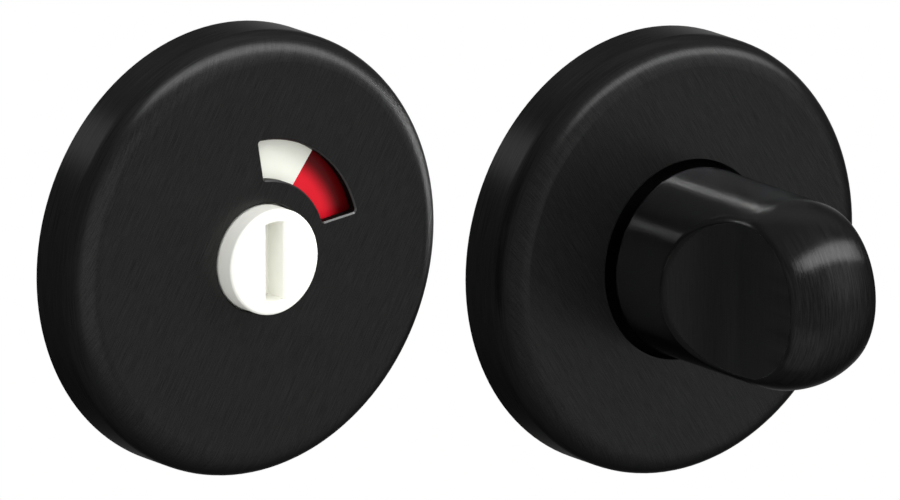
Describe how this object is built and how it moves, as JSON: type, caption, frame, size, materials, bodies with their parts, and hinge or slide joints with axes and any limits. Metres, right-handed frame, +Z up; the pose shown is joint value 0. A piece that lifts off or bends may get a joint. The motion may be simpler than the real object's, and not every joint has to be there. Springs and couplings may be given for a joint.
{
  "type": "bathroom thumb turn lock",
  "caption": "Two-sided privacy lock set on round roses: a thumb turn on a square spindle for the inside, and a coin release with a red and white indicator window for the outside.",
  "frame": {"origin": "on the thumb turn's axis, on the door's face behind its rose", "axes": "+Y into the door, away from the fronts, +Z up, +X to the right seen from the front"},
  "size_m": [0.113, 0.0576, 0.062],
  "materials": {
    "cover_black": "satin black over linear brushing",
    "turn_black": "satin black, softly brushed",
    "release_white": "satin white",
    "indicator_white": "satin white",
    "indicator_red": "gloss red",
    "base_nylon": "moulded black nylon",
    "bush_nylon": "moulded black nylon",
    "bright_steel": "zinc plated steel",
    "spring_steel": "oiled spring steel"
  },
  "bodies": {
    "root": {"turn_cover": "cover_black", "turn_base": "base_nylon", "turn_bush": "bush_nylon", "turn_wood_screws": "bright_steel", "release_cover": "cover_black", "release_base": "base_nylon", "release_bush": "bush_nylon", "release_wood_screws": "bright_steel"},
    "turn": {"thumb_turn": "turn_black", "spindle": "bright_steel", "spindle_sleeve": "bright_steel", "spindle_pin": "bright_steel", "turn_retaining_clip": "spring_steel", "turn_flat_washer": "spring_steel", "turn_spring_washer": "spring_steel"},
    "release": {"coin_turn": "release_white", "indicator_disc": "indicator_white", "indicator_red_segment": "indicator_red", "release_retaining_clip": "spring_steel", "release_flat_washer": "spring_steel", "release_spring_washer": "spring_steel"}
  },
  "joints": [
    {"name": "thumb_turn", "type": "hinge", "parent": "root", "child": "turn", "pos_m": [0, 0, 0], "axis": [0, 1, 0], "range_deg": [0, 90]},
    {"name": "coin_release", "type": "hinge", "parent": "root", "child": "release", "pos_m": [-0.061, 0, 0.01], "axis": [0, 1, 0], "range_deg": [-45, 45]}
  ]
}
